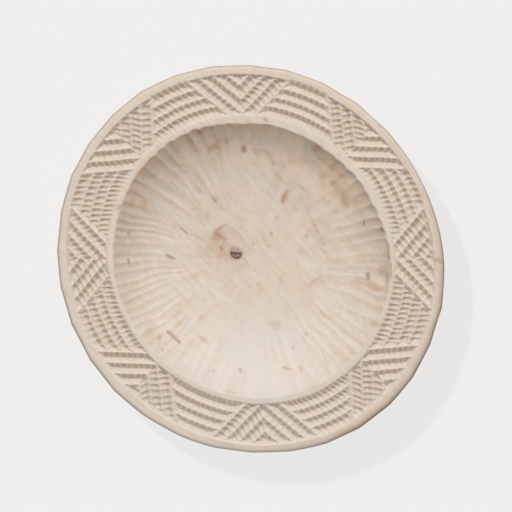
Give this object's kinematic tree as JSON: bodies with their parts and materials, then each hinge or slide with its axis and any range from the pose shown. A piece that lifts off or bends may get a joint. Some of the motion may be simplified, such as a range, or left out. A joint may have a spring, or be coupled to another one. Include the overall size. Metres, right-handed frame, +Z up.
{
  "type": "carved wooden plate",
  "caption": "Oval wooden plate with a round-bottomed bowl, a broad level rim carved with chevrons between fields of grooves, and a flat foot.",
  "frame": {"origin": "centre of the flat foot, on the surface the plate stands on, under the middle of the oval rim", "axes": "+X along the grain and the oval's long axis, +Y across the grain, +Z up out of the bowl"},
  "size_m": [0.33, 0.31, 0.046],
  "materials": {
    "bleached_wood": "pale bleached hardwood, dry and unvarnished, hand-cut",
    "knot_wood": "dark dead knot, dull and split"
  },
  "bodies": {
    "root": {"plate_body": "bleached_wood", "dead_knot": "knot_wood"}
  },
  "joints": []
}
